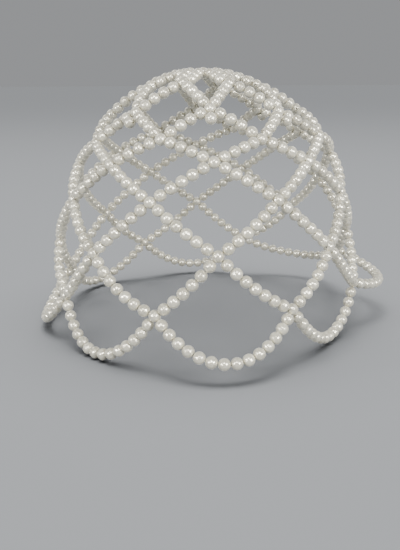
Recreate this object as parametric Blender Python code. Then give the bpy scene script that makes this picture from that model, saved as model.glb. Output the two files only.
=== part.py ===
"""Pearl net bridal cap: an open diamond mesh of strung pearls, worn over the top of the head.

The net starts from a small ring of pearls at the crown. Every further string is one closed round of
eight arches. It runs through the crossing pearls of the round above, so the arches hang from them and
make the diamonds. The last round hangs free as eight hem loops. Each string is one solid as thick as
its pearls, and narrows to its thread where it passes through a drilled crossing pearl.

Metres, +Z up. The origin is the apex of the guide form, where the cap sits. The front faces -Y.
"""

import bmesh
import bpy
import numpy as np

# The pearls and their thread
PEARL = 0.006
PITCH = 0.00603
RING_PITCH = 0.0074
THREAD_RADIUS = 0.0005
HOLE_RADIUS = 0.0012
GAP = 0.0003
SOLID_RADIUS = PEARL / 2 - GAP / 2

# The guide form that the cap is worn over: a dome on an oval, narrowing again below its widest level.
# The oval is wider at the back, and its apex leans aside of it
HALF_WIDTH = 0.084
HALF_DEPTH = 0.0933
DOME_HEIGHT = 0.1145
LEAN = 0.0017
TAPER = 1.2
TAPER_LENGTH = 0.1
NARROWEST = 0.2
LOWEST = -0.15
PROFILE_POINTS = 100
EGG = 0.07
# A fuller place on its right side: how far it stands out, its turn from the front, its height above
# the widest level and its reach
FULL_OUT = 0.007
FULL_TURN = np.radians(86)
FULL_HEIGHT = 0.093
FULL_REACH = 0.036

# The net: eight columns, the whole of it turned a little about the apex
COLUMNS = 8
SECTOR = 2 * np.pi / COLUMNS
NET_TURN = np.radians(5.6)
# One row a round: name, pearls in an arch, place of the crossing pearl in the arch, and the distance
# of the arch's lowest pearl from the apex along the guide form before the pearls are spaced
ROUNDS = (
    ("net_round_1", 7, 3, 0.029),
    ("net_round_2", 9, 4, 0.051),
    ("net_round_3", 9, 4, 0.070),
    ("net_round_4", 9, 4, 0.082),
    ("net_round_5", 11, 5, 0.101),
    ("net_round_6", 13, 6, 0.125),
    ("net_round_7", 14, 7, 0.150),
    ("hem_round", 14, None, 0.178),
)
# The picot pearls: the round they hang in, and where each starts from the middle of its two neighbours
PICOT_ROUND = 2
PICOT_OUT = 0.003
PICOT_DOWN = 0.004
# One row a hem loop, round from the back: place, and how many degrees it swings outward, and to the
# right as seen from outside, from hanging straight down
HEM_LOOPS = (
    ("back", 20, 0),
    ("back left", 20, 0),
    ("left", 28, 25),
    ("front left", 10, 0),
    ("front", 40, 0),
    ("front right", -35, 0),
    ("right", 45, -20),
    ("back right", 20, 0),
)

# How the pearls are spaced along their strings and over the guide form
STEPS = 150
PASSES = 10
LAST_PASSES = 200
FALL = 0.00002
# The cap lies a little to the left and to the back: the shares of the fall that draw it there
SLIDE = (-0.052, 0.052)
DRAG = 0.92
FIRM = 1.4
LAST_FIRM = 1.2
PUSH = 0.9
NEAR = PEARL + 0.0015

# How the solids are meshed
LONGEST_STEP = 3
STRING_RESOLUTION = 2
PEARL_RESOLUTION = 3
HOLE_RESOLUTION = 0
THREAD_REACH = 0.0046
SAMPLES = 6
OWN_NEIGHBOURS = 2.6 * PITCH
PICOT_SEGMENTS = 10
PICOT_RINGS = 6
# One pearl of the crown ring: place along the pitch from its middle, and share of its radius
PEARL_PROFILE = ((-0.5, 0.4), (-0.26, 0.95), (0.26, 0.95))
SHARP_ANGLE = np.radians(40)
PEARL_COLOUR = (0.83, 0.8, 0.75, 1)
PEARL_ROUGHNESS = 0.22


def clear_scene():
    for obj in list(bpy.data.objects):
        bpy.data.objects.remove(obj)


def new_collection(name):
    collection = bpy.data.collections.new(name)
    bpy.context.scene.collection.children.link(collection)
    return collection


def pearl_material(name):
    material = bpy.data.materials.new(name)
    material.use_nodes = True
    shader = material.node_tree.nodes["Principled BSDF"]
    shader.inputs["Base Color"].default_value = PEARL_COLOUR
    shader.inputs["Roughness"].default_value = PEARL_ROUGHNESS
    shader.inputs["Metallic"].default_value = 0
    return material


def on_guide(turn, down):
    """The centre of a pearl on the guide form, at a turn from the front and a distance from the apex."""
    side, front = np.sin(turn), -np.cos(turn)
    across = 1 / np.hypot(side / (HALF_WIDTH + PEARL / 2), front / (HALF_DEPTH + PEARL / 2))
    angle = np.linspace(0, np.pi / 2, PROFILE_POINTS)
    drop = np.linspace(0, LOWEST, PROFILE_POINTS)[1:]
    narrow = np.maximum(1 - TAPER * (drop / TAPER_LENGTH) ** 2, NARROWEST)
    radius = np.r_[across * np.sin(angle), across * narrow]
    height = np.r_[(DOME_HEIGHT + PEARL / 2) * np.cos(angle), drop]
    length = np.r_[0, np.cumsum(np.hypot(np.diff(radius), np.diff(height)))]
    reach = np.interp(down, length, radius)
    return np.array([side * reach, front * reach, np.interp(down, length, height) - DOME_HEIGHT])


def clearance(points):
    """How far each point lies outside the guide form, and the direction straight out of it."""
    z = points[:, 2] + DOME_HEIGHT
    share = np.clip(z / DOME_HEIGHT, 0, 1)
    x, y = points[:, 0] - LEAN * (1 - share), points[:, 1]
    width = HALF_WIDTH * (1 + EGG * y / HALF_DEPTH)
    up = np.maximum(z, 0) / DOME_HEIGHT
    down = np.minimum(z, 0) / TAPER_LENGTH
    narrow = np.maximum(1 - TAPER * down**2, NARROWEST)
    across = (x / width) ** 2 + (y / HALF_DEPTH) ** 2
    level = np.sqrt(across / narrow**2 + up**2)
    aside = x / width**2 / narrow**2 / level
    slope = np.c_[
        aside,
        (y / HALF_DEPTH**2 - x**2 * HALF_WIDTH * EGG / HALF_DEPTH / width**3) / narrow**2 / level,
        up / DOME_HEIGHT / level
        + across / narrow**3 * 2 * TAPER * down / TAPER_LENGTH / level
        + aside * LEAN / DOME_HEIGHT * ((share > 0) & (share < 1)),
    ]
    steep = np.linalg.norm(slope, axis=1)
    from_full = (
        (x - np.sin(FULL_TURN) * HALF_WIDTH) ** 2
        + (y + np.cos(FULL_TURN) * HALF_DEPTH) ** 2
        + (z - FULL_HEIGHT) ** 2
    )
    outside = (level - 1) / steep - FULL_OUT * np.exp(-from_full / FULL_REACH**2)
    return outside, slope / steep[:, None]


def thread_net():
    """First places of all pearls, and which pearls each string runs through, in order."""
    places = []

    def new_pearl(place):
        places.append(place)
        return len(places) - 1

    above = PEARL * COLUMNS / (2 * np.pi)
    ring = [new_pearl(on_guide(NET_TURN + c * SECTOR, above)) for c in range(COLUMNS)]
    strings = [ring]
    crossings = [ring]
    arches = []
    for row, (_, count, low, down) in enumerate(ROUNDS):
        string, crossing, round_arches = [], [], []
        for column in range(COLUMNS):
            left = NET_TURN + (column + row / 2) * SECTOR
            arch = []
            for k in range(count):
                if low is None:
                    share = (k + 1) / (count + 1)
                    turn, sag = left + SECTOR * share, np.sin(np.pi * share)
                elif k <= low:
                    sag = (k + 1) / (low + 1)
                    turn = left + SECTOR / 2 * sag
                else:
                    sag = (count - k) / (count - low)
                    turn = left + SECTOR / 2 * (2 - sag)
                arch.append(new_pearl(on_guide(turn, above + (down - above) * sag)))
            string += [crossings[-1][column]] + arch
            round_arches.append(arch)
            if low is not None:
                crossing.append(arch[low])
        strings.append(string)
        arches.append(round_arches)
        if low is not None:
            crossings.append(crossing)
        above = down
    picots = []
    for column in range(COLUMNS):
        right, left = arches[PICOT_ROUND][column][0], arches[PICOT_ROUND][column - 1][-1]
        middle = (places[left] + places[right]) / 2
        outward = np.r_[middle[:2], 0] / np.hypot(*middle[:2])
        place = middle + PICOT_OUT * outward - [0, 0, PICOT_DOWN]
        picots.append((new_pearl(place), left, right))
    return np.array(places), strings, crossings, arches, picots


def list_joints(strings, picots):
    """Pearls joined by a thread, in groups that share no pearl, with the space between each two, and
    close pairs that may only touch."""
    joints = [(s[i], s[(i + 1) % len(s)]) for s in strings for i in range(len(s))]
    joints += [(picot, pearl) for picot, left, right in picots for pearl in (left, right)]
    groups, taken, joined = [], {}, {}
    for a, b in joints:
        group = 0
        while group in taken.setdefault(a, set()) | taken.setdefault(b, set()):
            group += 1
        taken[a].add(group)
        taken[b].add(group)
        if group == len(groups):
            groups.append([])
        groups[group].append((a, b))
        joined.setdefault(a, set()).add(b)
        joined.setdefault(b, set()).add(a)
    pairs = set()
    for pearl in joined:
        seen, edge = {pearl}, {pearl}
        for step in range(4):
            edge = set().union(*(joined[other] for other in edge)) - seen
            seen |= edge
            if step:
                pairs |= {(pearl, other) for other in edge if other > pearl}
    groups = [np.array(group).T for group in groups]
    spans = [np.where(np.isin(group, strings[0]).all(0), RING_PITCH, PITCH) for group in groups]
    return groups, spans, np.array(sorted(pairs)).T


def space_pearls(places, strings, arches, picots):
    """Lets the net hang over the guide form, with its pearls one pitch apart and none in another. The
    crown ring is looser, so that the sixteen pearls that hang from it lie flat around it."""
    groups, spans, pairs = list_joints(strings, picots)
    fall = np.tile(FALL * np.array([*SLIDE, -1]), (len(places), 1))
    for column, (_, outward, aside) in enumerate(HEM_LOOPS):
        turn = NET_TURN + (column + 4) * SECTOR
        face = np.array([np.sin(turn), -np.cos(turn), 0])
        side = np.array([np.cos(turn), np.sin(turn), 0])
        outward, aside = np.radians(outward), np.radians(aside)
        hang = side * np.sin(aside) - [0, 0, np.cos(aside)]
        fall[arches[-1][column]] = FALL * (face * np.sin(outward) + hang * np.cos(outward))
    places, before = places.copy(), places.copy()
    for step in range(STEPS + 1):
        passes, firm = LAST_PASSES, LAST_FIRM
        if step < STEPS:
            moved = (places - before) * DRAG
            before = places.copy()
            places = places + moved + fall
            passes, firm = PASSES, FIRM
        near = pairs[:, np.linalg.norm(places[pairs[1]] - places[pairs[0]], axis=1) < NEAR]
        for _ in range(passes):
            for (a, b), span in zip(groups, spans):
                apart = places[b] - places[a]
                length = np.sqrt((apart * apart).sum(1))
                apart *= ((length - span) / length * 0.5 * firm)[:, None]
                places[a] += apart
                places[b] -= apart
            apart = places[near[1]] - places[near[0]]
            length = np.sqrt((apart * apart).sum(1))
            close = length < PEARL
            apart = apart[close] * ((length[close] - PEARL) / length[close] * 0.5 * PUSH)[:, None]
            np.add.at(places, near[0][close], apart)
            np.add.at(places, near[1][close], -apart)
            outside, outward = clearance(places)
            places += outward * np.maximum(PEARL / 2 - outside, 0)[:, None]
    return places


def stations(count, low):
    """The pearls of an arch that its tube has a point at: two at each end, the lowest, some between."""
    lowest = {(count - 1) // 2, count // 2} if low is None else {low}
    fixed = sorted({0, 1, count - 2, count - 1} | lowest)
    found = [0]
    for start, end in zip(fixed, fixed[1:]):
        steps = int(np.ceil((end - start) / LONGEST_STEP))
        found += [start + round((end - start) * k / steps) for k in range(1, steps + 1)]
    return found


def toward(places, start, end, reach):
    apart = places[end] - places[start]
    return places[start] + apart / np.linalg.norm(apart) * reach


def string_route(places, row, strings, arches):
    """The points and radii of one round's tube: thin in each pearl it hangs from, full elsewhere."""
    _, count, low, _ = ROUNDS[row]
    kept = stations(count, low)
    route, radii = [], []
    for column in range(COLUMNS):
        hung = strings[row + 1][column * (count + 1)]
        last, arch = arches[row][column - 1][-1], arches[row][column]
        route += [toward(places, hung, last, THREAD_REACH), places[hung]]
        route += [toward(places, hung, arch[0], THREAD_REACH)]
        radii += [THREAD_RADIUS] * 3
        route += [places[arch[k]] for k in kept]
        radii += [SOLID_RADIUS] * len(kept)
    return np.array(route), np.array(radii)


def ring_route(places, ring):
    """The crown ring's points and radii: its pearls are round, with a neck between two of them."""
    route, radii = [], []
    for column, pearl in enumerate(ring):
        before, after = places[ring[column - 1]], places[ring[(column + 1) % COLUMNS]]
        for along, share in PEARL_PROFILE:
            other = before if along < 0 else after
            route.append(places[pearl] + (other - places[pearl]) * abs(along))
            radii.append(SOLID_RADIUS * share)
    return np.array(route), np.array(radii)


def make_room(routes, picots):
    """Thins each string where it lies against another, or a picot pearl, until the gap is left."""
    points, owner, station, along, thin = [], [], [], [], []
    for number, (route, radii) in enumerate(routes):
        steps = np.roll(route, -1, axis=0) - route
        lengths = np.linalg.norm(steps, axis=1)
        starts = np.r_[0, np.cumsum(lengths)[:-1]]
        for k in range(SAMPLES):
            share = k / SAMPLES
            ahead = share > 0.5
            nearest = (np.arange(len(route)) + ahead) % len(route)
            points.append(route + steps * share)
            owner.append(np.full(len(route), number))
            station.append(nearest)
            along.append(starts + lengths * share)
            thin.append(radii[nearest] <= THREAD_RADIUS)
    points, owner, station = np.concatenate(points), np.concatenate(owner), np.concatenate(station)
    along, thin = np.concatenate(along), np.concatenate(thin)
    for number, (route, radii) in enumerate(routes):
        length = np.linalg.norm(np.roll(route, -1, axis=0) - route, axis=1).sum()
        mine = (owner == number) & ~thin
        other = ~thin
        apart = np.linalg.norm(points[mine][:, None] - points[other][None], axis=2)
        behind = np.abs(along[mine][:, None] - along[other][None])
        same = (owner[other] == number)[None] & (np.minimum(behind, length - behind) < OWN_NEIGHBOURS)
        room = np.where(same, 1, apart / 2 - GAP / 2).min(axis=1)
        to_picot = np.linalg.norm(points[mine][:, None] - picots[None], axis=2).min(axis=1)
        room = np.minimum(room, to_picot - PEARL / 2 - GAP)
        np.minimum.at(radii, station[mine], room)
        np.maximum(radii, THREAD_RADIUS, out=radii)


def curve_tube(name, runs, radius, resolution, collection, closed):
    """A mesh of one or more bevelled runs, each a list of points with the tube's radius at them."""
    curve = bpy.data.curves.new(name, "CURVE")
    curve.dimensions = "3D"
    curve.bevel_depth = radius
    curve.bevel_resolution = resolution
    curve.use_fill_caps = True
    for route, radii in runs:
        spline = curve.splines.new("POLY")
        spline.points.add(len(route) - 1)
        for point, place, size in zip(spline.points, route, radii):
            point.co = (*place, 1)
            point.radius = size / radius
        spline.use_cyclic_u = closed
    drawn = bpy.data.objects.new(name + "_curve", curve)
    collection.objects.link(drawn)
    bpy.context.view_layer.update()
    solid = drawn.evaluated_get(bpy.context.evaluated_depsgraph_get())
    mesh = bpy.data.meshes.new_from_object(solid)
    mesh.name = name
    weld = bmesh.new()
    weld.from_mesh(mesh)
    bmesh.ops.remove_doubles(weld, verts=weld.verts, dist=0.000001)
    bmesh.ops.recalc_face_normals(weld, faces=weld.faces)
    weld.to_mesh(mesh)
    weld.free()
    made = bpy.data.objects.new(name, mesh)
    made.matrix_world = drawn.matrix_world.copy()
    collection.objects.link(made)
    bpy.data.objects.remove(drawn)
    bpy.data.curves.remove(curve)
    return made


def finish_pearls(made):
    made.data.shade_smooth()
    made.data.set_sharp_from_angle(angle=SHARP_ANGLE)
    made.data.materials.clear()
    made.data.materials.append(pearl_material(made.name + "_pearl"))


def drill_crossings(made, places, hung, arches, cutters):
    """Cuts the bent hole that the next string takes through each crossing pearl."""
    runs = []
    for column, pearl in enumerate(hung):
        last, first = arches[column - 1][-1], arches[column][0]
        reach = THREAD_REACH + HOLE_RADIUS
        route = [toward(places, pearl, last, reach), places[pearl], toward(places, pearl, first, reach)]
        runs.append((route, [HOLE_RADIUS] * 3))
    drill = curve_tube(made.name + "_drill", runs, HOLE_RADIUS, HOLE_RESOLUTION, cutters, closed=False)
    drill.hide_render = True
    drill.display_type = "WIRE"
    cut = made.modifiers.new("thread holes", "BOOLEAN")
    cut.operation = "DIFFERENCE"
    cut.solver = "EXACT"
    cut.object = drill


def make_picot(name, place, collection):
    """One single pearl, seated between the two strands under a crossing of the third row."""
    mesh = bpy.data.meshes.new(name)
    ball = bmesh.new()
    bmesh.ops.create_uvsphere(
        ball, u_segments=PICOT_SEGMENTS, v_segments=PICOT_RINGS, radius=PEARL / 2
    )
    ball.to_mesh(mesh)
    ball.free()
    made = bpy.data.objects.new(name, mesh)
    made.location = place
    collection.objects.link(made)
    finish_pearls(made)


def build_cap():
    clear_scene()
    parts = new_collection("pearl_net_bridal_cap")
    cutters = new_collection("cutters")
    places, strings, crossings, arches, picots = thread_net()
    places = space_pearls(places, strings, arches, picots)
    picot_places = places[[picot for picot, _, _ in picots]]
    routes = [ring_route(places, strings[0])]
    routes += [string_route(places, row, strings, arches) for row in range(len(ROUNDS))]
    make_room(routes, picot_places)
    names = ["crown_ring"] + [name for name, _, _, _ in ROUNDS]
    for row, (name, (route, radii)) in enumerate(zip(names, routes)):
        resolution = STRING_RESOLUTION if row else PEARL_RESOLUTION
        made = curve_tube(name, [(route, radii)], SOLID_RADIUS, resolution, parts, closed=True)
        finish_pearls(made)
        if row < len(crossings):
            drill_crossings(made, places, crossings[row], arches[row], cutters)
    for number, place in enumerate(picot_places):
        make_picot(f"picot_pearl_{number + 1}", place, parts)


build_cap()
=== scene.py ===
# %% [markdown]
# # A pearl net bridal cap
# This lesson dresses the solid model of a netted cap: a small ring of imitation pearls, and eight
# strings of them that hang from it and from one another in diamonds, down to the loose loops of the
# hem. The model gives every string as a plain tube. Here each tube becomes what it stands for, a row
# of drilled pearls on a clear thread.
# %% Load the frame
import math

import bmesh
import bpy
import numpy as np
from mathutils import Matrix, Vector


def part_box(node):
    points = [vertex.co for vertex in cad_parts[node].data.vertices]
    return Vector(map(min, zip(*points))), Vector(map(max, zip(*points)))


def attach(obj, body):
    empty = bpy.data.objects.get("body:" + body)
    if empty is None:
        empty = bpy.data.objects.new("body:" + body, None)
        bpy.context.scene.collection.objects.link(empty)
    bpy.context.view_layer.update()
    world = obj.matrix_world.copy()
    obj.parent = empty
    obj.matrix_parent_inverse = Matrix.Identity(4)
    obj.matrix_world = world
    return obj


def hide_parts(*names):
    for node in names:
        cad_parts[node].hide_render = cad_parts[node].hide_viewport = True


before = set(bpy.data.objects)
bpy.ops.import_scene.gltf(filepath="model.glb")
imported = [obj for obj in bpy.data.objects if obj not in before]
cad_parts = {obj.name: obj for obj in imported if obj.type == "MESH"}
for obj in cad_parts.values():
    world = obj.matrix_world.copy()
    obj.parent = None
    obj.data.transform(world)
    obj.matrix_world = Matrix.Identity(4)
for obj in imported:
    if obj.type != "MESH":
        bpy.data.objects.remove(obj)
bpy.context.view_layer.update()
print("solid strings:", sorted(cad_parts))

# %% [markdown]
# ## The camera
# The photograph looks at the cap from the front and a little above it, from an arm's length away. At
# that distance the near pearls look clearly larger than the far ones, so the distance matters as much
# as the angle. The place below was found by matching the strings to the picture. A camera looks down
# its own -Z, so it is turned from the direction that it aims in.
# %% Place the camera
PICTURE_HEIGHT = 550
FOCAL_PIXELS = 717.5
SENSOR_HEIGHT = 36
NEAREST_SEEN = 0.01
CAMERA_PLACE = Vector((0.0067, -0.4172, -0.0038))
CAMERA_DOWN = math.radians(14.84)
CAMERA_ASIDE = math.radians(-1.14)
CAMERA_TILT = math.radians(0.3)


def place_camera():
    """The camera at the photograph's place, aim and lens."""
    aim = Vector((math.sin(CAMERA_ASIDE), math.cos(CAMERA_ASIDE), -math.tan(CAMERA_DOWN)))
    data = bpy.data.cameras.new("photo camera")
    data.sensor_fit = "VERTICAL"
    data.sensor_height = SENSOR_HEIGHT
    data.lens = FOCAL_PIXELS / PICTURE_HEIGHT * SENSOR_HEIGHT
    data.clip_start = NEAREST_SEEN
    camera = bpy.data.objects.new("photo camera", data)
    turned = aim.to_track_quat("-Z", "Y").to_matrix().to_4x4() @ Matrix.Rotation(-CAMERA_TILT, 4, "Z")
    camera.matrix_world = Matrix.Translation(CAMERA_PLACE) @ turned
    bpy.context.scene.collection.objects.link(camera)
    bpy.context.scene.camera = camera
    return camera


camera = place_camera()
print("lens", round(camera.data.lens, 1), "mm")

# %% [markdown]
# ## The sizes of a pearl string
# Such caps are strung from round 6 mm pearls with a drilled hole. The thread is clear nylon, thin
# enough to pass twice through the same pearl. The pitch is the space that one pearl takes on the
# string, a hair more than its diameter, because no maker pulls a net dead tight. The ring at the top
# is looser: sixteen pearls hang from its eight, and need the room to lie flat around it. The radius
# that a pearl is drawn with is a hair over the half, so that neighbours touch as they do in the picture.
# %% Name the sizes
PEARL = 0.006
PITCH = 0.00603
RING_PITCH = 0.0074
PEARL_RADIUS = 0.00306
BORE_RADIUS = 0.00042
THREAD_RADIUS = 0.00016
print("a pearl every", round(PITCH * 1000, 2), "mm, in the ring every", round(RING_PITCH * 1000, 1), "mm")

# %% [markdown]
# ## The form that the cap is worn over
# A net has no shape of its own. It takes the shape of what it lies on, here a dome over an oval that
# narrows again below its widest level. The oval is a little wider at the back, the apex leans a hair
# aside, and one place on the right side is fuller. A mesh could stand for this guide form, but a
# formula is exact and quick, and its few numbers are easy to fit to the picture. Two small functions
# describe it: one gives a place on it for the first guess, the other says how far a pearl is outside it
# and which way is out.
# %% Describe the guide form
HALF_WIDTH = 0.084
HALF_DEPTH = 0.0933
DOME_HEIGHT = 0.1145
LEAN = 0.0017
TAPER = 1.2
TAPER_LENGTH = 0.1
NARROWEST = 0.2
LOWEST = -0.15
PROFILE_POINTS = 100
EGG = 0.07
FULL_OUT = 0.007
FULL_TURN = np.radians(86)
FULL_HEIGHT = 0.093
FULL_REACH = 0.036


def on_guide(turn, down):
    """A pearl's centre at a turn from the front and a distance down from the apex."""
    side, front = np.sin(turn), -np.cos(turn)
    across = 1 / np.hypot(side / (HALF_WIDTH + PEARL / 2), front / (HALF_DEPTH + PEARL / 2))
    angle = np.linspace(0, np.pi / 2, PROFILE_POINTS)
    drop = np.linspace(0, LOWEST, PROFILE_POINTS)[1:]
    narrow = np.maximum(1 - TAPER * (drop / TAPER_LENGTH) ** 2, NARROWEST)
    radius = np.r_[across * np.sin(angle), across * narrow]
    height = np.r_[(DOME_HEIGHT + PEARL / 2) * np.cos(angle), drop]
    length = np.r_[0, np.cumsum(np.hypot(np.diff(radius), np.diff(height)))]
    reach = np.interp(down, length, radius)
    return np.array([side * reach, front * reach, np.interp(down, length, height) - DOME_HEIGHT])


print("a pearl 150 mm down the front is at", on_guide(0, 0.15).round(3))

# %% Measure how far pearls are outside the form
def clearance(points):
    """How far each pearl's centre is outside the form, and the way out from it."""
    z = points[:, 2] + DOME_HEIGHT
    share = np.clip(z / DOME_HEIGHT, 0, 1)
    x, y = points[:, 0] - LEAN * (1 - share), points[:, 1]
    width = HALF_WIDTH * (1 + EGG * y / HALF_DEPTH)
    up = np.maximum(z, 0) / DOME_HEIGHT
    down = np.minimum(z, 0) / TAPER_LENGTH
    narrow = np.maximum(1 - TAPER * down**2, NARROWEST)
    across = (x / width) ** 2 + (y / HALF_DEPTH) ** 2
    level = np.sqrt(across / narrow**2 + up**2)
    aside = x / width**2 / narrow**2 / level
    slope = np.c_[
        aside,
        (y / HALF_DEPTH**2 - x**2 * HALF_WIDTH * EGG / HALF_DEPTH / width**3) / narrow**2 / level,
        up / DOME_HEIGHT / level
        + across / narrow**3 * 2 * TAPER * down / TAPER_LENGTH / level
        + aside * LEAN / DOME_HEIGHT * ((share > 0) & (share < 1)),
    ]
    steep = np.linalg.norm(slope, axis=1)
    from_full = (
        (x - np.sin(FULL_TURN) * HALF_WIDTH) ** 2
        + (y + np.cos(FULL_TURN) * HALF_DEPTH) ** 2
        + (z - FULL_HEIGHT) ** 2
    )
    outside = (level - 1) / steep - FULL_OUT * np.exp(-from_full / FULL_REACH**2)
    return outside, slope / steep[:, None]


ABOVE_APEX = np.array([[1e-6, 0, 0.001]])
print("one millimetre above the apex is", clearance(ABOVE_APEX)[0].round(4)[0], "outside")

# %% [markdown]
# ## Threading the net
# The maker closes a ring of eight pearls, then works round by round. In each round the thread takes up
# an arch of new pearls, goes through the next crossing pearl of the round above, and takes up another
# arch. The pearl in the middle of each arch is the crossing that the following round goes through.
# Loops can follow the same order, so that a short table is the whole pattern. It has a row for each
# round: pearls in an arch, which one is the crossing, and how far down the form it starts. The second
# table has a row for each hem loop: how many degrees it swings outward, and to the right as seen from
# outside.
# %% The table of rounds
COLUMNS = 8
SECTOR = 2 * np.pi / COLUMNS
NET_TURN = np.radians(5.6)
ROUNDS = (
    ("net_round_1", 7, 3, 0.029),
    ("net_round_2", 9, 4, 0.051),
    ("net_round_3", 9, 4, 0.070),
    ("net_round_4", 9, 4, 0.082),
    ("net_round_5", 11, 5, 0.101),
    ("net_round_6", 13, 6, 0.125),
    ("net_round_7", 14, 7, 0.150),
    ("hem_round", 14, None, 0.178),
)
PICOT_ROUND = 2
PICOT_OUT = 0.003
PICOT_DOWN = 0.004
HEM_LOOPS = (
    ("back", 20, 0),
    ("back left", 20, 0),
    ("left", 28, 25),
    ("front left", 10, 0),
    ("front", 40, 0),
    ("front right", -35, 0),
    ("right", 45, -20),
    ("back right", 20, 0),
)
print(len(ROUNDS), "rounds of", COLUMNS, "arches")


# %% Thread every pearl in order
def along_arch(left, count, low, k):
    """How far round pearl k of an arch starts, and its share of the way down to the arch's lowest."""
    if low is None:
        share = (k + 1) / (count + 1)
        return left + SECTOR * share, np.sin(np.pi * share)
    if k <= low:
        sag = (k + 1) / (low + 1)
        return left + SECTOR / 2 * sag, sag
    sag = (count - k) / (count - low)
    return left + SECTOR / 2 * (2 - sag), sag


def thread_net():
    """First places of all pearls, the pearls that each string runs through in order, and its arches."""
    places = []

    def new_pearl(turn, down):
        places.append(on_guide(turn, down))
        return len(places) - 1

    above = PEARL * COLUMNS / (2 * np.pi)
    crossings = [new_pearl(NET_TURN + column * SECTOR, above) for column in range(COLUMNS)]
    strings, arches = [crossings], []
    for row, (_, count, low, down) in enumerate(ROUNDS):
        string, round_arches = [], []
        for column in range(COLUMNS):
            left = NET_TURN + (column + row / 2) * SECTOR
            arch = []
            for k in range(count):
                turn, sag = along_arch(left, count, low, k)
                arch.append(new_pearl(turn, above + (down - above) * sag))
            string += [crossings[column]] + arch
            round_arches.append(arch)
        strings.append(string)
        arches.append(round_arches)
        if low is not None:
            crossings = [arch[low] for arch in round_arches]
        above = down
    return places, strings, arches


places, strings, arches = thread_net()
print(len(places), "pearls on", len(strings), "strings")

# %% [markdown]
# ## The single pearls
# Under each crossing of the third row the maker ties one more pearl to the crossing's two neighbours,
# so that four pearls make a small diamond. They could be a round of their own, but no string runs
# through them all, so each is added under the middle of its two neighbours.
# %% Hang the single pearls
def hang_picots():
    """A pearl under each crossing of the picot round, with the two pearls that it is tied to."""
    picots = []
    for column in range(COLUMNS):
        right, left = arches[PICOT_ROUND][column][0], arches[PICOT_ROUND][column - 1][-1]
        middle = (places[left] + places[right]) / 2
        outward = np.r_[middle[:2], 0] / np.hypot(*middle[:2])
        places.append(middle + PICOT_OUT * outward - [0, 0, PICOT_DOWN])
        picots.append((len(places) - 1, left, right))
    return picots


picots = hang_picots()
places = np.array(places)
print(len(picots), "single pearls, so", len(places), "in all")

# %% [markdown]
# ## Letting the net hang
# The first places only follow the form, so the gaps between pearls are uneven. Three rules put that
# right, over and over: joined pearls are one pitch apart, no two pearls share a place, and none sinks
# into the form. The pearls of the top ring keep to the ring's own, wider pitch. Blender's own physics
# could hang the net too, but these rules keep every pitch even and give the same net each time.
# Joints that share no pearl are moved together, which keeps the work quick.
# %% List the joints
def list_joints():
    """Every two pearls that are next to each other on a thread."""
    joints = [(s[i], s[(i + 1) % len(s)]) for s in strings for i in range(len(s))]
    return joints + [(picot, pearl) for picot, left, right in picots for pearl in (left, right)]


def group_joints(joints):
    """The joints in groups that share no pearl."""
    groups, taken = [], {}
    for a, b in joints:
        group = 0
        while group in taken.setdefault(a, set()) | taken.setdefault(b, set()):
            group += 1
        taken[a].add(group)
        taken[b].add(group)
        if group == len(groups):
            groups.append([])
        groups[group].append((a, b))
    return [np.array(group).T for group in groups]


joints = list_joints()
groups = group_joints(joints)
spans = [np.where(np.isin(group, strings[0]).all(0), RING_PITCH, PITCH) for group in groups]
print(len(joints), "joints in", len(groups), "groups")

# %% List the pearls that may touch
MOST_JOINTS_APART = 4


def close_pairs():
    """Every two pearls that are a few joints apart, so that they may touch but are not tied."""
    joined = {}
    for a, b in joints:
        joined.setdefault(a, set()).add(b)
        joined.setdefault(b, set()).add(a)
    pairs = set()
    for pearl in joined:
        seen, edge = {pearl}, {pearl}
        for step in range(MOST_JOINTS_APART):
            edge = set().union(*(joined[other] for other in edge)) - seen
            seen |= edge
            if step:
                pairs |= {(pearl, other) for other in edge if other > pearl}
    return np.array(sorted(pairs)).T


pairs = close_pairs()
print(pairs.shape[1], "pairs may touch")

# %% [markdown]
# A small fall at each step makes the net hang, and a smaller slide lets it lie a little to the left and
# to the back. The hem loops have nothing to lie on, so each falls the way that its row in the table
# gives.
# %% Choose how each pearl falls
FALL = 0.00002
SLIDE = (-0.052, 0.052)


def falls():
    """The small step that each pearl falls by."""
    fall = np.tile(FALL * np.array([*SLIDE, -1]), (len(places), 1))
    for column, (_, outward, aside) in enumerate(HEM_LOOPS):
        turn = NET_TURN + (column + len(ROUNDS) / 2) * SECTOR
        face = np.array([np.sin(turn), -np.cos(turn), 0])
        side = np.array([np.cos(turn), np.sin(turn), 0])
        outward, aside = np.radians(outward), np.radians(aside)
        hang = side * np.sin(aside) - [0, 0, np.cos(aside)]
        fall[arches[-1][column]] = FALL * (face * np.sin(outward) + hang * np.cos(outward))
    return fall


print("a pearl of the net falls by", falls()[0])

# %% Write the three rules
PUSH = 0.9
NEAR = PEARL + 0.0015


def keep_pitch(places, firm):
    """Draws each two joined pearls to the space that belongs between them."""
    for (a, b), span in zip(groups, spans):
        apart = places[b] - places[a]
        length = np.sqrt((apart * apart).sum(1))
        apart *= ((length - span) / length * 0.5 * firm)[:, None]
        places[a] += apart
        places[b] -= apart


def keep_apart(places, near):
    """Pushes pearls out of one another."""
    apart = places[near[1]] - places[near[0]]
    length = np.sqrt((apart * apart).sum(1))
    close = length < PEARL
    apart = apart[close] * ((length[close] - PEARL) / length[close] * 0.5 * PUSH)[:, None]
    np.add.at(places, near[0][close], apart)
    np.add.at(places, near[1][close], -apart)


def keep_outside(places):
    """Lifts each sunken pearl out to the guide form."""
    outside, outward = clearance(places)
    places += outward * np.maximum(PEARL / 2 - outside, 0)[:, None]


def keep_rules(places, passes, firm):
    """All three rules, as many times over as there are passes."""
    near = pairs[:, np.linalg.norm(places[pairs[1]] - places[pairs[0]], axis=1) < NEAR]
    for _ in range(passes):
        keep_pitch(places, firm)
        keep_apart(places, near)
        keep_outside(places)


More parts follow.
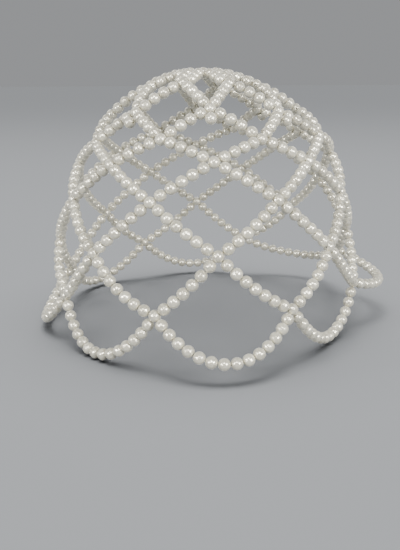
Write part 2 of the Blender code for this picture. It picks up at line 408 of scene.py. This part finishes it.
print("the rules pull", len(spans), "groups of joints in each pass")

# %% Space the pearls
STEPS = 150
PASSES = 10
LAST_PASSES = 200
DRAG = 0.92
FIRM = 1.4
LAST_FIRM = 1.2


def space_pearls(places):
    """Lets the net fall and settle, then keeps the rules alone until they hold."""
    fall = falls()
    places, before = places.copy(), places.copy()
    for _ in range(STEPS):
        moved = (places - before) * DRAG
        before = places.copy()
        places = places + moved + fall
        keep_rules(places, PASSES, FIRM)
    keep_rules(places, LAST_PASSES, LAST_FIRM)
    return places


places = space_pearls(places)
steps = [np.linalg.norm(places[s] - places[np.roll(s, -1)], axis=1) for s in strings]
print("pitch", round(min(map(min, steps)) * 1000, 2), "to", round(max(map(max, steps)) * 1000, 2), "mm")

# %% [markdown]
# Each string must lie where its tube does, or the looks would leave the solid that the cap is touched
# by. The check below compares the two boxes, string by string.
# %% Check the pearls against the solid strings
STRING_NAMES = ["crown_ring"] + [name for name, _, _, _ in ROUNDS]
own_pearls = [strings[0]] + [[pearl for arch in round_arches for pearl in arch] for round_arches in arches]
for name, own in zip(STRING_NAMES, own_pearls):
    low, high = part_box(name)
    apart = max(np.abs(places[own].min(0) - PEARL_RADIUS - low).max(),
                np.abs(places[own].max(0) + PEARL_RADIUS - high).max())
    print(f"{name}: {len(own)} pearls, box within {apart * 1000:.1f} mm of the tube's")

# %% [markdown]
# ## Which way each bore points
# A pearl turns on its thread until its bore lies along its string. A crossing pearl has four strands,
# two from each side, so its bore points from the middle of one pair to the middle of the other. The
# sum of the two strings' ways gives just that, with no case of its own.
# %% Find the bores
def find_bores():
    """The way that each pearl's bore points."""
    bores = np.zeros_like(places)
    for string, own in zip(strings, own_pearls):
        for before, pearl, after in zip(np.roll(string, 1), string, np.roll(string, -1)):
            way = places[after] - places[before]
            bores[pearl] += way / np.linalg.norm(way)
    for picot, left, right in picots:
        bores[picot] = places[right] - places[left]
    return bores / np.linalg.norm(bores, axis=1)[:, None]


bores = find_bores()
print("bores found for", len(bores), "pearls")

# %% [markdown]
# ## One drilled pearl
# A drilled bead is a turned shape: half a circle for the outside, a tiny broken edge at the mouth, and
# the wall of the bore back up the middle. A ready-made sphere with a Boolean hole would leave uneven
# faces around the hole. Spinning that line about the bore's axis gives one closed, even body instead,
# with no faces hidden inside.
# %% Turn the pearl
PEARL_SIDES = 28
PEARL_RINGS = 15
LIP = 0.00012
WELD = 0.000001


def turn_pearl():
    """One drilled pearl with its bore along Z."""
    start = math.asin((BORE_RADIUS + LIP) / PEARL_RADIUS)
    angles = [start + (math.pi - 2 * start) * k / PEARL_RINGS for k in range(PEARL_RINGS + 1)]
    line = [(PEARL_RADIUS * math.sin(a), PEARL_RADIUS * math.cos(a)) for a in angles]
    lip_height = line[0][1] - LIP
    line += [(BORE_RADIUS, -lip_height), (BORE_RADIUS, lip_height)]
    turned = bmesh.new()
    corners = [turned.verts.new((radius, 0, height)) for radius, height in line]
    edges = [turned.edges.new((a, b)) for a, b in zip(corners, corners[1:] + corners[:1])]
    bmesh.ops.spin(turned, geom=corners + edges, axis=(0, 0, 1), cent=(0, 0, 0),
                   steps=PEARL_SIDES, angle=2 * math.pi)
    bmesh.ops.remove_doubles(turned, verts=turned.verts, dist=WELD)
    bmesh.ops.recalc_face_normals(turned, faces=turned.faces)
    mesh = bpy.data.meshes.new("one pearl")
    turned.to_mesh(mesh)
    turned.free()
    mesh.shade_smooth()
    pearl = bpy.data.objects.new("one pearl", mesh)
    bpy.context.scene.collection.objects.link(pearl)
    return pearl


one_pearl = turn_pearl()
print("one pearl has", len(one_pearl.data.polygons), "faces")

# %% [markdown]
# ## Threading copies with Geometry Nodes
# Seven hundred pearls are too many to place by hand. Each string becomes a cloud of points that carry
# three values: the way of the bore, the size of the pearl and its tone. A Geometry Nodes group puts a
# pearl on every point, turns it along the bore, and realizes the copies as one mesh. A loop could copy
# the mesh in the same way, but the group is quicker, and shows each step as a node. The tone travels
# along with the mesh, so the shader can read it later.
# %% Build the threading nodes
def threading_nodes(pearl):
    """A group that puts a turned and sized copy of the pearl on each point that it is given."""
    group = bpy.data.node_groups.new("Thread pearls", "GeometryNodeTree")
    group.interface.new_socket("Geometry", in_out="INPUT", socket_type="NodeSocketGeometry")
    group.interface.new_socket("Geometry", in_out="OUTPUT", socket_type="NodeSocketGeometry")
    nodes, links = group.nodes, group.links
    given, made = nodes.new("NodeGroupInput"), nodes.new("NodeGroupOutput")
    source = nodes.new("GeometryNodeObjectInfo")
    source.inputs["Object"].default_value = pearl
    bore, size = nodes.new("GeometryNodeInputNamedAttribute"), nodes.new("GeometryNodeInputNamedAttribute")
    bore.data_type, size.data_type = "FLOAT_VECTOR", "FLOAT"
    bore.inputs["Name"].default_value, size.inputs["Name"].default_value = "bore", "size"
    turned = nodes.new("FunctionNodeAlignRotationToVector")
    turned.axis = "Z"
    placed, real = nodes.new("GeometryNodeInstanceOnPoints"), nodes.new("GeometryNodeRealizeInstances")
    links.new(given.outputs["Geometry"], placed.inputs["Points"])
    links.new(source.outputs["Geometry"], placed.inputs["Instance"])
    links.new(bore.outputs["Attribute"], turned.inputs["Vector"])
    links.new(turned.outputs["Rotation"], placed.inputs["Rotation"])
    links.new(size.outputs["Attribute"], placed.inputs["Scale"])
    links.new(placed.outputs["Instances"], real.inputs["Geometry"])
    links.new(real.outputs["Geometry"], made.inputs["Geometry"])
    return group


threading = threading_nodes(one_pearl)
print("threading takes", len(threading.nodes), "nodes")

# %% String the pearls
SMALLEST_PEARL = 0.99
CHANCE_START = 7
chance = np.random.default_rng(CHANCE_START)


def string_pearls(name, own):
    """One mesh of all the pearls on a string."""
    points = bpy.data.meshes.new(name + "_points")
    points.from_pydata(places[own].tolist(), [], [])
    points.attributes.new("bore", "FLOAT_VECTOR", "POINT").data.foreach_set("vector", bores[own].ravel())
    sizes = chance.uniform(SMALLEST_PEARL, 1, len(own))
    points.attributes.new("size", "FLOAT", "POINT").data.foreach_set("value", sizes)
    tones = chance.uniform(0, 1, len(own))
    points.attributes.new("tone", "FLOAT", "POINT").data.foreach_set("value", tones)
    cloud = bpy.data.objects.new(name + "_cloud", points)
    bpy.context.scene.collection.objects.link(cloud)
    cloud.modifiers.new("thread", "NODES").node_group = threading
    ready = bpy.context.evaluated_depsgraph_get()
    mesh = bpy.data.meshes.new_from_object(cloud.evaluated_get(ready), preserve_all_data_layers=True,
                                           depsgraph=ready)
    mesh.name = name + "_pearls"
    pearls = bpy.data.objects.new(name + "_pearls", mesh)
    bpy.context.scene.collection.objects.link(pearls)
    bpy.data.objects.remove(cloud)
    return pearls


pearl_pieces = {name: string_pearls(name, own) for name, own in zip(STRING_NAMES, own_pearls)}
pearl_pieces["picots"] = string_pearls("picots", [picot for picot, _, _ in picots])
bpy.data.objects.remove(one_pearl)
for name, piece in pearl_pieces.items():
    print(name, "has", len(piece.data.polygons), "faces")

# %% [markdown]
# ## The clear thread
# Between two pearls the thread is only a glint, but at a crossing it shows where it turns. It is a thin
# tube through all the bores of a string. In a crossing pearl of the round above it goes in at one mouth
# of the bore and out at the other, as the needle does. A curve with a bevel is the shortest way to a
# round line through many places. It is then made into a mesh, so that it is a plain piece.
# %% Draw the threads
MOUTH = PEARL_RADIUS + THREAD_RADIUS
THREAD_ROUNDING = 1


def thread_route(string, own):
    """The places that a string's thread goes through, with both mouths of each crossing pearl."""
    own = set(own)
    route = []
    for pearl in string:
        if pearl not in own:
            route.append(places[pearl] - bores[pearl] * MOUTH)
        route.append(places[pearl])
        if pearl not in own:
            route.append(places[pearl] + bores[pearl] * MOUTH)
    return route


def draw_thread(name, routes, closed=True):
    """A thread along each route, all in one mesh."""
    curve = bpy.data.curves.new(name, "CURVE")
    curve.dimensions = "3D"
    curve.bevel_depth = THREAD_RADIUS
    curve.bevel_resolution = THREAD_ROUNDING
    curve.use_fill_caps = True
    for route in routes:
        spline = curve.splines.new("POLY")
        spline.points.add(len(route) - 1)
        for point, place in zip(spline.points, route):
            point.co = (*place, 1)
        spline.use_cyclic_u = closed
    drawn = bpy.data.objects.new(name + "_curve", curve)
    bpy.context.scene.collection.objects.link(drawn)
    mesh = bpy.data.meshes.new_from_object(drawn.evaluated_get(bpy.context.evaluated_depsgraph_get()))
    mesh.shade_smooth()
    thread = bpy.data.objects.new(name, mesh)
    bpy.context.scene.collection.objects.link(thread)
    bpy.data.objects.remove(drawn)
    return thread


thread_pieces = {
    name: draw_thread(name + "_thread", [thread_route(string, own)])
    for name, string, own in zip(STRING_NAMES, strings, own_pearls)
}
ties = [[places[left], places[picot], places[right]] for picot, left, right in picots]
thread_pieces["picots"] = draw_thread("picots_thread", ties, closed=False)
print(len(thread_pieces), "sets of thread")

# %% [markdown]
# ## Unevenness that two finishes share
# Nothing moulded or drawn is perfectly even. One node group gives a soft mask and a fine height from
# the same place on the surface, with a scale of its own for each material. It could be built twice, but
# a group keeps the two finishes alike and short. It reads the object's own coordinates, so the marks
# stay on the piece when the camera moves.
# %% Build the shared unevenness group
UNEVEN_PARTS = (
    ("Patch size", 0.003, "Patches", 2),
    ("Grain size", 0.0006, "Grain", 3),
)


def unevenness_group():
    """Two noises. The table has each one's input, its usual size, its output and its detail."""
    group = bpy.data.node_groups.new("Soft unevenness", "ShaderNodeTree")
    for size, usual, _, _ in UNEVEN_PARTS:
        socket = group.interface.new_socket(size, in_out="INPUT", socket_type="NodeSocketFloat")
        socket.default_value = usual
    for _, _, output, _ in UNEVEN_PARTS:
        group.interface.new_socket(output, in_out="OUTPUT", socket_type="NodeSocketFloat")
    nodes, links = group.nodes, group.links
    given, made = nodes.new("NodeGroupInput"), nodes.new("NodeGroupOutput")
    place = nodes.new("ShaderNodeTexCoord")
    for size, _, output, detail in UNEVEN_PARTS:
        per_metre = nodes.new("ShaderNodeMath")
        per_metre.operation = "DIVIDE"
        per_metre.inputs[0].default_value = 1
        noise = nodes.new("ShaderNodeTexNoise")
        noise.inputs["Detail"].default_value = detail
        links.new(given.outputs[size], per_metre.inputs[1])
        links.new(per_metre.outputs["Value"], noise.inputs["Scale"])
        links.new(place.outputs["Object"], noise.inputs["Vector"])
        links.new(noise.outputs["Fac"], made.inputs[output])
    return group


unevenness = unevenness_group()
print("the shared group gives", [output for _, _, output, _ in UNEVEN_PARTS])

# %% [markdown]
# Both finishes start in the same way: a shader, the unevenness at sizes of its own, a mask stretched to
# the range that a property needs, and a bump. Four small helpers do this.
# %% Helpers for a finish
def start_finish(name, patch_size, grain_size):
    """A new material, and its unevenness."""
    material = bpy.data.materials.new(name)
    material.use_nodes = True
    uneven = material.node_tree.nodes.new("ShaderNodeGroup")
    uneven.node_tree = unevenness
    uneven.inputs["Patch size"].default_value = patch_size
    uneven.inputs["Grain size"].default_value = grain_size
    return material, uneven


def stretched(tree, mask, to, seen=(0, 1)):
    """A mask, stretched from the values that it is seen to have to the values that are wanted."""
    node = tree.nodes.new("ShaderNodeMapRange")
    for name, value in zip(("From Min", "From Max", "To Min", "To Max"), (*seen, *to)):
        node.inputs[name].default_value = value
    tree.links.new(mask, node.inputs["Value"])
    return node.outputs["Result"]


def add_bump(tree, height, depth):
    """Lets a height mask roughen the shader's surface, to a depth in metres."""
    bump = tree.nodes.new("ShaderNodeBump")
    bump.inputs["Distance"].default_value = depth
    tree.links.new(height, bump.inputs["Height"])
    tree.links.new(bump.outputs["Normal"], tree.nodes["Principled BSDF"].inputs["Normal"])


def coat(pieces, material):
    """Gives all the pieces the material, and no other."""
    for piece in pieces:
        piece.data.materials.clear()
        piece.data.materials.append(material)
    print(material.name, "is on", len(pieces), "pieces")


# %% [markdown]
# ## The pearl finish
# An imitation pearl is a plastic ball dipped in a pearly lacquer. The lacquer is warm white, a little
# greyer or yellower from pearl to pearl and in soft patches on each. Under it the ball lets some light
# through. A clear coat gives the small bright highlights, and a very fine bump breaks them up into
# streaks, because the dip never dries quite smooth. A painted picture of such highlights would not turn
# with the light, so all of it is left to the shader: half metal for the pearly sheen, half milky ball.
# %% Mix the pearl lacquer
PEARL_WHITE = (0.78, 0.755, 0.645, 1)
PEARL_GREY = (0.48, 0.455, 0.37, 1)
PEARL_PATCH_SIZE = 0.0025
PEARL_GRAIN_SIZE = 0.0007
SPECKLE_SEEN = (0.35, 0.65)
PEARL_GLOSS = (0.16, 0.3)
GRAIN_HEIGHT = 0.7
LACQUER_DEPTH = 0.0002
LACQUER = (
    ("Metallic", 0.5),
    ("Coat Weight", 1),
    ("Coat Roughness", 0.065),
    ("Sheen Weight", 0.8),
    ("Sheen Roughness", 0.3),
    ("Subsurface Weight", 0.4),
    ("Subsurface Radius", (1, 0.95, 0.88)),
    ("Subsurface Scale", 0.0008),
)


def pearl_finish():
    material, uneven = start_finish("imitation pearl", PEARL_PATCH_SIZE, PEARL_GRAIN_SIZE)
    tree = material.node_tree
    nodes, links = tree.nodes, tree.links
    shader = nodes["Principled BSDF"]
    tone = nodes.new("ShaderNodeAttribute")
    tone.attribute_name = "tone"
    greyed = nodes.new("ShaderNodeMath")
    greyed.operation = "MULTIPLY"
    links.new(stretched(tree, uneven.outputs["Grain"], (0, 1), SPECKLE_SEEN), greyed.inputs[0])
    links.new(tone.outputs["Fac"], greyed.inputs[1])
    colour = nodes.new("ShaderNodeMix")
    colour.data_type = "RGBA"
    colour.inputs["A"].default_value = PEARL_WHITE
    colour.inputs["B"].default_value = PEARL_GREY
    links.new(greyed.outputs["Value"], colour.inputs["Factor"])
    links.new(colour.outputs["Result"], shader.inputs["Base Color"])
    links.new(stretched(tree, uneven.outputs["Patches"], PEARL_GLOSS), shader.inputs["Roughness"])
    height = nodes.new("ShaderNodeMath")
    height.operation = "MULTIPLY_ADD"
    height.inputs[1].default_value = GRAIN_HEIGHT
    links.new(uneven.outputs["Grain"], height.inputs[0])
    links.new(uneven.outputs["Patches"], height.inputs[2])
    add_bump(tree, height.outputs["Value"], LACQUER_DEPTH)
    for name, value in LACQUER:
        shader.inputs[name].default_value = value
    return material


coat(pearl_pieces.values(), pearl_finish())

# %% [markdown]
# ## The thread finish
# Clear nylon is nearly invisible, and could be left out at this size, but its glints show where the
# strands cross. It is glass to the eye but softer, so it takes transmission with a little roughness
# that varies along it, and a faint milky colour.
# %% Mix the clear thread
NYLON_PATCH_SIZE = 0.002
NYLON_GRAIN_SIZE = 0.0002
NYLON_GLOSS = (0.1, 0.35)
NYLON_DEPTH = 0.00002
NYLON = (
    ("Base Color", (0.9, 0.9, 0.88, 1)),
    ("Transmission Weight", 0.8),
)


def thread_finish():
    material, uneven = start_finish("clear nylon thread", NYLON_PATCH_SIZE, NYLON_GRAIN_SIZE)
    tree = material.node_tree
    shader = tree.nodes["Principled BSDF"]
    tree.links.new(stretched(tree, uneven.outputs["Patches"], NYLON_GLOSS), shader.inputs["Roughness"])
    add_bump(tree, uneven.outputs["Grain"], NYLON_DEPTH)
    for name, value in NYLON:
        shader.inputs[name].default_value = value
    return material


coat(thread_pieces.values(), thread_finish())

# %% [markdown]
# ## Joining the pieces to the model
# The net has no joints, so the model has one body, its root, and each piece rides on that. The pearls
# of a string stand for that string's tube, and the set of single pearls stands for all eight of the
# solid ones. The threads stand for nothing in the model, because its tubes hide them.
# %% Ride and replace
PICOT_NODES = [f"picot_pearl_{number + 1}" for number in range(COLUMNS)]
for name, piece in pearl_pieces.items():
    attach(piece, "root")
    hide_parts(*(PICOT_NODES if name == "picots" else [name]))
for piece in thread_pieces.values():
    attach(piece, "root")
print(len(pearl_pieces) + len(thread_pieces), "pieces ride on the root")

# %% [markdown]
# ## The floor
# A wide, plain, pale floor. A curved paper backdrop would show its edges in the views from the side
# and the back. This floor runs so far out on every side that its edge meets the studio's own grey,
# which is as bright as the far floor. Its paint is a darker grey than it looks, because the lights that
# it gets further on are strong.
# %% Lay the floor
FLOOR_LEVEL = -0.1397
FLOOR_SIZE = 200
FLOOR_GREY = (0.057, 0.06, 0.066, 1)
FLOOR_ROUGHNESS = 0.9


def floor_finish():
    """Matt paint with no gloss at all, so that no lamp shows in it."""
    material = bpy.data.materials.new("pale floor")
    material.use_nodes = True
    shader = material.node_tree.nodes["Principled BSDF"]
    shader.inputs["Base Color"].default_value = FLOOR_GREY
    shader.inputs["Roughness"].default_value = FLOOR_ROUGHNESS
    shader.inputs["Specular IOR Level"].default_value = 0
    return material


bpy.ops.mesh.primitive_plane_add(size=FLOOR_SIZE, location=(0, 0, FLOOR_LEVEL))
floor = bpy.context.object
floor.name = "floor"
floor.data.materials.append(floor_finish())

# %% [markdown]
# ## The light
# The photograph shows three small soft highlights on every pearl, in an arc about its middle, so three
# lamps stand near the camera: left, above and right. Large dim panels at the sides and behind soften
# the shaded sides, as a photographer's light tent does. Only the side below the camera stays dim, and
# a pearl mirrors it as the darker patch under its middle. The table gives where each lamp stands, seen
# from the cap: degrees round from the front, degrees up, metres away, metres wide, and how bright its
# face is. A lamp's power follows from the last two, so its size can change and its highlight keeps
# its tone.
#
# These lamps stand so near the floor that each would leave a glaring pool on it. So they are linked to
# the cap, and the floor has two lights of its own from straight above: a sky that reaches all of it
# evenly, and a wide lamp that makes it paler around the cap.
# %% Name the lamps
LAMPS = (
    ("left lamp", -46, 15, 1.2, 0.28, 60),
    ("top lamp", 0, 42, 1.2, 0.26, 60),
    ("right lamp", 43, 16, 1.2, 0.34, 55),
    ("left panel", -95, 10, 1.6, 1.2, 1.2),
    ("right panel", 95, 10, 1.6, 1.2, 1.2),
    ("back left panel", -140, 40, 1.8, 1.2, 1.6),
    ("back right panel", 140, 40, 1.8, 1.2, 1.6),
)
FLOOR_LAMP = ("floor lamp", 0, 90, 2.2, 1.2, 48)
LAMP_AIM = Vector((0, 0, -0.06))
WARM_LIGHT = (1, 0.98, 0.92)
SKY_STRENGTH = 17
SKY_SPREAD = math.radians(80)
print(len(LAMPS), "lamps for the cap, 2 lights for the floor")


# %% Hang the lamps
def lit_group(name, pieces):
    """A collection for a light to be linked to. It isn't shown in the scene's own tree."""
    group = bpy.data.collections.new(name)
    for piece in pieces:
        group.objects.link(piece)
    return group


def hang_light(data, lit):
    """A light that reaches the lit pieces alone."""
    data.color = WARM_LIGHT
    light = bpy.data.objects.new(data.name, data)
    light.light_linking.receiver_collection = lit
    bpy.context.scene.collection.objects.link(light)
    return light


def hang_lamp(name, turn, rise, distance, size, brightness, lit):
    """A round lamp that faces the cap. A face of a given brightness gives out pi times that for its area."""
    turn, rise = math.radians(turn), math.radians(rise)
    way = Vector((math.sin(turn) * math.cos(rise), -math.cos(turn) * math.cos(rise), math.sin(rise)))
    data = bpy.data.lights.new(name, "AREA")
    data.shape = "DISK"
    data.size = size
    face = math.pi * (size / 2) ** 2
    data.energy = brightness * math.pi * face
    lamp = hang_light(data, lit)
    lamp.location = LAMP_AIM + way * distance
    lamp.rotation_euler = way.to_track_quat("Z", "Y").to_euler()
    lamp.visible_camera = False


lit_cap = lit_group("lit by the lamps", [*pearl_pieces.values(), *thread_pieces.values()])
lit_floor = lit_group("lit from above", [floor])
for lamp in LAMPS:
    hang_lamp(*lamp, lit_cap)
floor_sky = bpy.data.lights.new("floor sky", "SUN")
floor_sky.energy = SKY_STRENGTH
floor_sky.angle = SKY_SPREAD
hang_light(floor_sky, lit_floor)
hang_lamp(*FLOOR_LAMP, lit_floor)

# %% [markdown]
# The studio around it all is an even grey. It fills the darkest sides, and is what shows above the
# floor's far edge.
# %% Paint the studio
STUDIO_GREY = (0.95, 0.97, 1, 1)
STUDIO_STRENGTH = 0.33
world = bpy.data.worlds.new("studio")
world.use_nodes = True
world.node_tree.nodes["Background"].inputs["Color"].default_value = STUDIO_GREY
world.node_tree.nodes["Background"].inputs["Strength"].default_value = STUDIO_STRENGTH
bpy.context.scene.world = world
print("studio at", STUDIO_STRENGTH)
